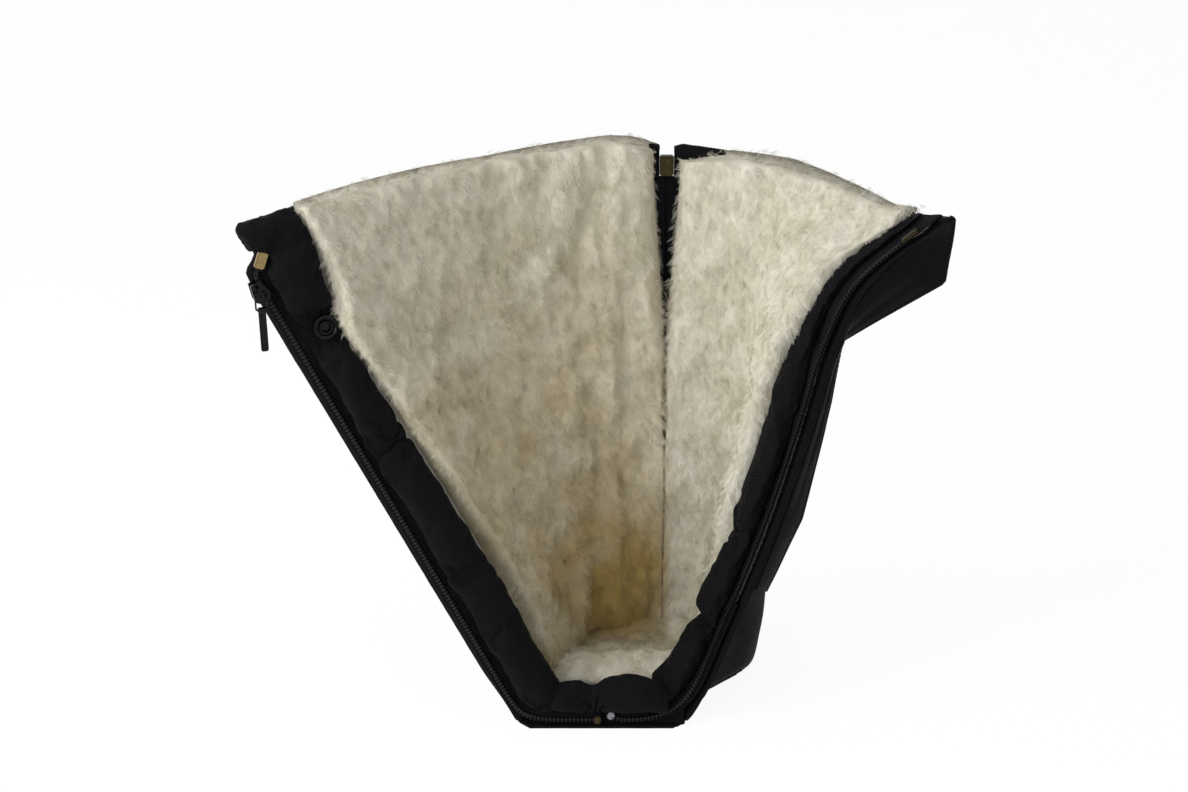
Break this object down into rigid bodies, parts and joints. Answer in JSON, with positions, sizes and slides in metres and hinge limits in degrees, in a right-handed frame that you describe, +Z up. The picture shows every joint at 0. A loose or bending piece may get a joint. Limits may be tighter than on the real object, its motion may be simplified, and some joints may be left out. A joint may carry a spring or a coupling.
{
  "type": "pram hand muff",
  "caption": "Padded hand muff for a pram handle, two pile-lined walls on a closed toe, opened by a front zip and joined by a rear zip.",
  "frame": {"origin": "on the resting face of the toe, below the middle of the front opening", "axes": "+Z up, +Y from the open front to the rear zip, +X to the right of someone who looks into the open front"},
  "size_m": [0.407, 0.1354, 0.3532],
  "materials": {
    "black_twill": "matt black polyester twill",
    "polyester_wadding": "white needled wadding",
    "cream_pile": "cream lambswool pile",
    "zip_tape_cloth": "woven polyester tape",
    "nylon_coil": "black nylon",
    "aged_brass": "aged brass",
    "plated_steel": "bright plated",
    "black_nickel": "glossy black nickel"
  },
  "bodies": {
    "left_half": {"left_shell": "black_twill", "left_wadding": "polyester_wadding", "left_wool": "cream_pile", "toe_shell": "black_twill", "toe_wadding": "polyester_wadding", "toe_wool": "cream_pile", "left_facing": "black_twill", "toe_facing": "black_twill", "left_zip_tape": "zip_tape_cloth", "left_zip_coil": "nylon_coil", "retainer_box": "aged_brass", "left_end_stop": "aged_brass", "right_end_stop": "plated_steel", "rear_left_tape": "zip_tape_cloth", "rear_zip_coil": "nylon_coil", "rear_retainer_box": "aged_brass", "rear_end_stop": "aged_brass", "snap_socket": "black_nickel", "snap_barrel": "black_nickel"},
    "right_half": {"right_shell": "black_twill", "right_wadding": "polyester_wadding", "right_wool": "cream_pile", "right_facing": "black_twill", "right_zip_tape": "zip_tape_cloth", "right_zip_coil": "nylon_coil", "insertion_pin": "aged_brass", "rear_right_tape": "zip_tape_cloth", "storm_flap": "black_twill", "snap_stud": "black_nickel"},
    "front_slider": {"front_slider": "black_nickel"},
    "front_link": {"front_pull_link": "black_nickel"},
    "front_tab": {"front_pull_tab": "black_nickel"},
    "rear_slider": {"rear_slider": "black_nickel"},
    "rear_link": {"rear_pull_link": "black_nickel"},
    "rear_tab": {"rear_pull_tab": "black_nickel"}
  },
  "joints": [
    {"name": "wall_fold", "type": "hinge", "parent": "left_half", "child": "right_half", "pos_m": [0.04, 0.06, 0], "axis": [0, 0, -1], "range_deg": [-4, 18], "deforming": ["toe_shell", "toe_wadding", "toe_wool", "toe_facing", "right_zip_tape", "right_zip_coil", "rear_right_tape"]},
    {"name": "front_slider_slide", "type": "slide", "parent": "left_half", "child": "front_slider", "axis": [0.4405, 0.0394, -0.8969], "range_m": [0, 0.25]},
    {"name": "front_link_hinge", "type": "hinge", "parent": "front_slider", "child": "front_link", "pos_m": [-0.19212, -0.0655, 0.29774], "axis": [-0.9425, -0.3341, 0], "range_deg": [0, 95]},
    {"name": "front_tab_hinge", "type": "hinge", "parent": "front_link", "child": "front_tab", "pos_m": [-0.19171, -0.06667, 0.28762], "axis": [-0.9425, -0.3341, 0], "range_deg": [0, 60]},
    {"name": "rear_slider_slide", "type": "slide", "parent": "left_half", "child": "rear_slider", "axis": [0, 0, 1], "range_m": [0, 0.25], "deforming": ["rear_zip_coil"]},
    {"name": "rear_link_hinge", "type": "hinge", "parent": "rear_slider", "child": "rear_link", "pos_m": [0.04, 0.0625, 0.052], "axis": [1, 0, 0], "range_deg": [0, 95]},
    {"name": "rear_tab_hinge", "type": "hinge", "parent": "rear_link", "child": "rear_tab", "pos_m": [0.04, 0.0625, 0.0418], "axis": [1, 0, 0], "range_deg": [0, 60]}
  ]
}
